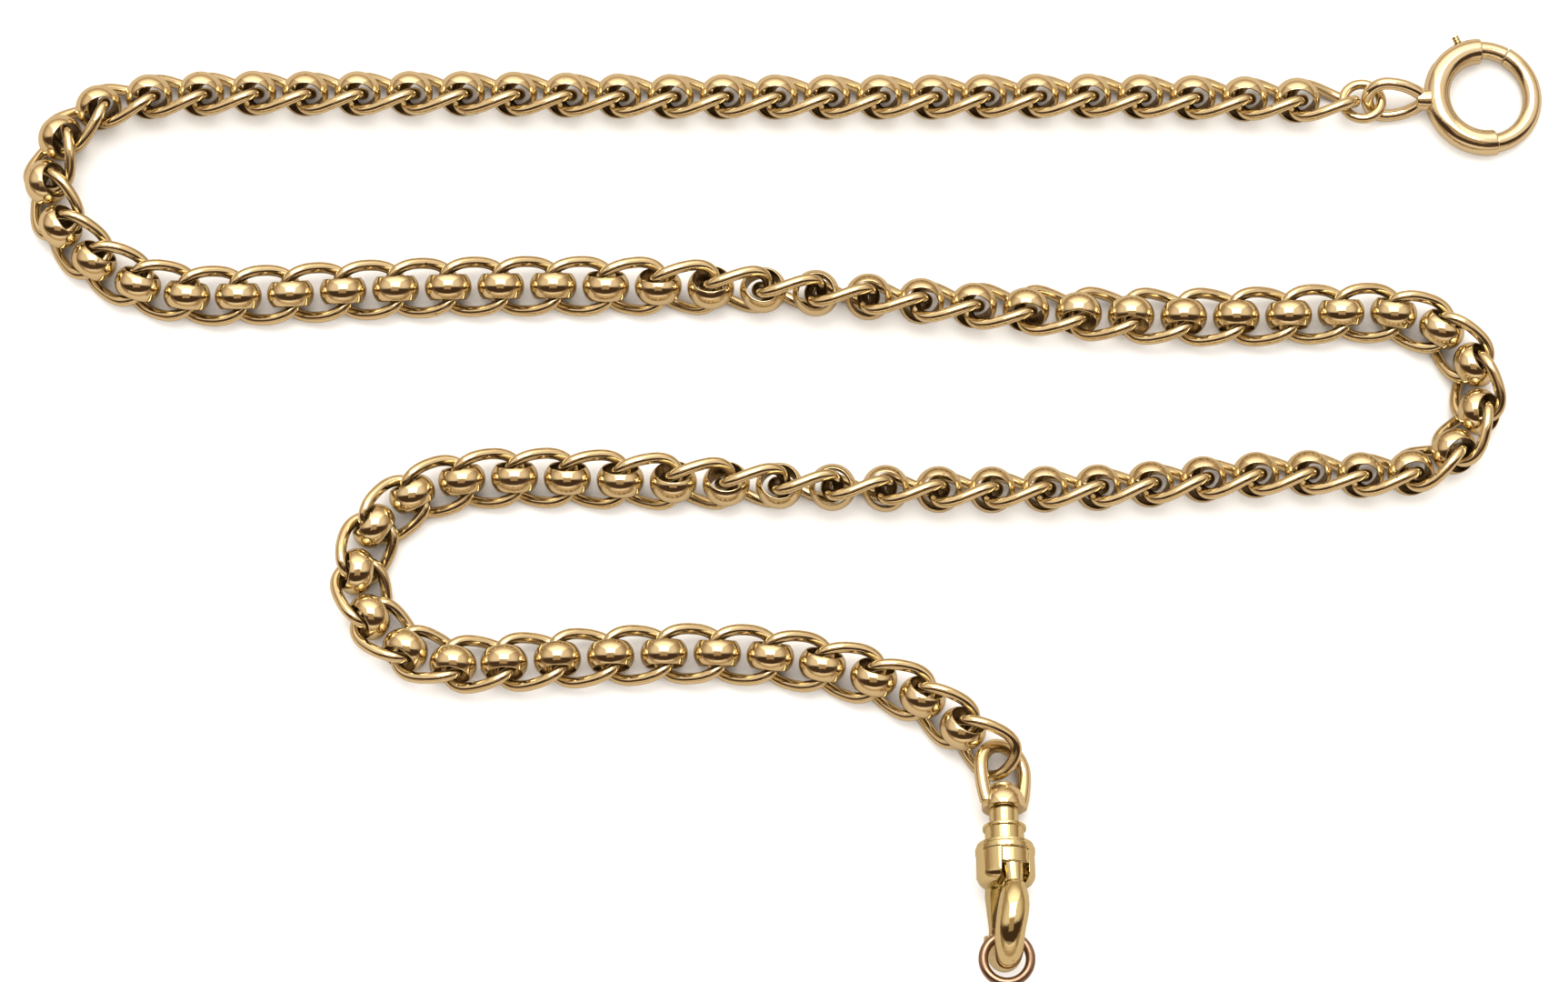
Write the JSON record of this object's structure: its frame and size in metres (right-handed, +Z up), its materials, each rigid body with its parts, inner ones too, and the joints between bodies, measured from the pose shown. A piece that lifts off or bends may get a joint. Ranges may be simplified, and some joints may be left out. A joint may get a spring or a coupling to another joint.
{
  "type": "pocket watch chain",
  "caption": "Watch chain of twisted curb links with a domed ring over every crossing, a sprung bolt ring at one end and a swivel hook with a small ring at the other.",
  "frame": {"origin": "middle of the laid-out chain's bounding box, on the surface it lies on", "axes": "+X along the long rows towards the bolt ring, +Y from the swivel hook's row towards the first row, +Z up from the surface"},
  "size_m": [0.1766, 0.113, 0.0096],
  "materials": {
    "gold": "polished pale gold, lightly worn",
    "rose_gold": "worn and tarnished rose gold",
    "spring_steel": "plain spring steel"
  },
  "bodies": {
    "chain_01": {"section_01_rings": "gold", "section_01_links": "gold"},
    "chain_02": {"section_02_rings": "gold", "section_02_links": "gold"},
    "chain_03": {"section_03_rings": "gold", "section_03_links": "gold"},
    "chain_04": {"section_04_rings": "gold", "section_04_links": "gold"},
    "chain_05": {"section_05_rings": "gold", "section_05_links": "gold"},
    "chain_06": {"section_06_rings": "gold", "section_06_links": "gold"},
    "chain_07": {"section_07_rings": "gold", "section_07_links": "gold"},
    "chain_08": {"section_08_rings": "gold", "section_08_links": "gold"},
    "chain_09": {"section_09_rings": "gold", "section_09_links": "gold"},
    "chain_10": {"section_10_rings": "gold", "section_10_links": "gold"},
    "chain_11": {"section_11_rings": "gold", "section_11_links": "gold"},
    "chain_12": {"section_12_rings": "gold", "section_12_links": "gold"},
    "chain_13": {"section_13_rings": "gold", "section_13_links": "gold"},
    "chain_14": {"section_14_rings": "gold", "section_14_links": "gold"},
    "chain_15": {"section_15_rings": "gold", "section_15_links": "gold"},
    "chain_16": {"section_16_rings": "gold", "section_16_links": "gold"},
    "chain_17": {"section_17_rings": "gold", "section_17_links": "gold"},
    "chain_18": {"section_18_rings": "gold", "section_18_links": "gold"},
    "chain_19": {"section_19_rings": "gold", "section_19_links": "gold"},
    "chain_20": {"section_20_rings": "gold", "section_20_links": "gold"},
    "jump_ring": {"jump_ring": "gold"},
    "bolt_ring": {"bolt_ring_barrel": "gold", "bolt_ring_arm": "gold", "bolt_ring_eye": "gold", "bolt_ring_spring": "spring_steel"},
    "bolt": {"bolt_ring_bolt": "gold", "bolt_ring_thumb_piece": "gold"},
    "end_link": {"end_link": "gold"},
    "stirrup": {"swivel_stirrup": "gold"},
    "swivel": {"swivel_body": "gold", "swivel_rivet": "gold", "swivel_hook": "gold", "swivel_lever_pin": "gold", "swivel_leaf_spring": "spring_steel"},
    "lever": {"swivel_lever": "gold"},
    "fob_ring": {"fob_ring": "rose_gold"}
  },
  "joints": [
    {"name": "bend_12_13", "type": "hinge", "parent": "chain_12", "child": "chain_13", "pos_m": [0.07927, 0.01626, 0.00287], "axis": [0.7268, 0.3047, 0.6155], "range_deg": [-20, 20]},
    {"name": "bend_13_14", "type": "hinge", "parent": "chain_13", "child": "chain_14", "pos_m": [0.05985, 0.00332, 0.00316], "axis": [-0.0032, 0.6259, -0.7799], "range_deg": [-20, 20]},
    {"name": "bend_14_15", "type": "hinge", "parent": "chain_14", "child": "chain_15", "pos_m": [0.03576, 0.00158, 0.00325], "axis": [0.0303, -0.5547, 0.8315], "range_deg": [-20, 20]},
    {"name": "bend_15_16", "type": "hinge", "parent": "chain_15", "child": "chain_16", "pos_m": [0.00548, 0.00155, 0.0035], "axis": [0.0012, 0.1737, -0.9848], "range_deg": [-20, 20]},
    {"name": "bend_16_17", "type": "hinge", "parent": "chain_16", "child": "chain_17", "pos_m": [-0.02482, 0.00285, 0.00269], "axis": [0.0158, 0.8601, 0.5099], "range_deg": [-20, 20]},
    {"name": "bend_17_18", "type": "hinge", "parent": "chain_17", "child": "chain_18", "pos_m": [-0.04686, -0.00281, 0.00266], "axis": [0.7709, -0.5244, -0.3616], "range_deg": [-20, 20]},
    {"name": "bend_18_19", "type": "hinge", "parent": "chain_18", "child": "chain_19", "pos_m": [-0.03181, -0.01888, 0.00269], "axis": [0.0527, -0.9802, 0.1908], "range_deg": [-20, 20]},
    {"name": "bend_19_20", "type": "hinge", "parent": "chain_19", "child": "chain_20", "pos_m": [-0.00761, -0.01774, 0.00269], "axis": [-0.0221, -0.9803, -0.1965], "range_deg": [-20, 20]},
    {"name": "bend_11_12", "type": "hinge", "parent": "chain_12", "child": "chain_11", "pos_m": [0.05807, 0.02225, 0.0027], "axis": [0.0432, -0.9909, -0.1276], "range_deg": [-20, 20]},
    {"name": "bend_10_11", "type": "hinge", "parent": "chain_11", "child": "chain_10", "pos_m": [0.02782, 0.02289, 0.00289], "axis": [-0.0335, -0.8188, 0.5732], "range_deg": [-20, 20]},
    {"name": "bend_09_10", "type": "hinge", "parent": "chain_10", "child": "chain_09", "pos_m": [-0.00243, 0.02508, 0.0035], "axis": [-0.0025, -0.1393, -0.9903], "range_deg": [-20, 12]},
    {"name": "bend_08_09", "type": "hinge", "parent": "chain_09", "child": "chain_08", "pos_m": [-0.02665, 0.02579, 0.00268], "axis": [-0.0006, 0.9659, 0.2588], "range_deg": [-20, 20]},
    {"name": "bend_07_08", "type": "hinge", "parent": "chain_08", "child": "chain_07", "pos_m": [-0.05694, 0.02485, 0.00267], "axis": [0.0496, -0.9524, -0.3007], "range_deg": [-20, 20]},
    {"name": "bend_06_07", "type": "hinge", "parent": "chain_07", "child": "chain_06", "pos_m": [-0.07971, 0.02885, 0.00266], "axis": [0.5279, 0.6866, 0.5], "range_deg": [-20, 20]},
    {"name": "bend_05_06", "type": "hinge", "parent": "chain_06", "child": "chain_05", "pos_m": [-0.07385, 0.04869, 0.00296], "axis": [-0.0985, 0.7342, -0.6717], "range_deg": [-20, 20]},
    {"name": "bend_04_05", "type": "hinge", "parent": "chain_05", "child": "chain_04", "pos_m": [-0.04357, 0.04906, 0.003], "axis": [0.0009, -0.7071, 0.7071], "range_deg": [-20, 20]},
    {"name": "bend_03_04", "type": "hinge", "parent": "chain_04", "child": "chain_03", "pos_m": [-0.01931, 0.04877, 0.003], "axis": [0.0106, 0.707, -0.7071], "range_deg": [-20, 20]},
    {"name": "bend_02_03", "type": "hinge", "parent": "chain_03", "child": "chain_02", "pos_m": [0.01103, 0.04863, 0.003], "axis": [0.0004, -0.7071, 0.7071], "range_deg": [-20, 20]},
    {"name": "bend_01_02", "type": "hinge", "parent": "chain_02", "child": "chain_01", "pos_m": [0.03529, 0.04875, 0.003], "axis": [0.0032, 0.7071, -0.7071], "range_deg": [-20, 20]},
    {"name": "jump_ring_swing", "type": "hinge", "parent": "chain_01", "child": "jump_ring", "pos_m": [0.06632, 0.04807, 0.003], "axis": [0, 0, 1], "range_deg": [-20, 20]},
    {"name": "bolt_ring_swing", "type": "hinge", "parent": "jump_ring", "child": "bolt_ring", "pos_m": [0.06779, 0.04844, 0.00267], "axis": [0, 0, 1], "range_deg": [-10, 10]},
    {"name": "bolt_turn", "type": "hinge", "parent": "bolt_ring", "child": "bolt", "pos_m": [0.08145, 0.04905, 0.0018], "axis": [0.1219, 0, 0.9925], "range_deg": [0, 31], "stiffness_Nm_per_rad": 0.003, "springref_deg": -22.92, "deforming": ["bolt_ring_spring"]},
    {"name": "end_link_bend", "type": "hinge", "parent": "chain_20", "child": "end_link", "pos_m": [0.02016, -0.02656, 0.003], "axis": [0.4397, 0.5538, 0.7071], "range_deg": [-15, 15]},
    {"name": "stirrup_swing", "type": "hinge", "parent": "end_link", "child": "stirrup", "pos_m": [0.02545, -0.03079, 0.003], "axis": [0, 0, 1], "range_deg": [-14, 20]},
    {"name": "swivel_spin", "type": "hinge", "parent": "stirrup", "child": "swivel", "pos_m": [0.02478, -0.04123, 0.0042], "axis": [0.0172, -0.9862, 0.1645], "continuous": true},
    {"name": "lever_open", "type": "hinge", "parent": "swivel", "child": "lever", "pos_m": [0.02414, -0.04385, 0.00284], "axis": [0.9345, -0.0427, -0.3535], "range_deg": [-22, 0], "stiffness_Nm_per_rad": 0.002, "springref_deg": 34.38, "deforming": ["swivel_leaf_spring"]},
    {"name": "fob_ring_swing", "type": "hinge", "parent": "swivel", "child": "fob_ring", "pos_m": [0.02469, -0.05095, 0.00429], "axis": [0.9345, -0.0427, -0.3535], "range_deg": [-10, 10]}
  ]
}
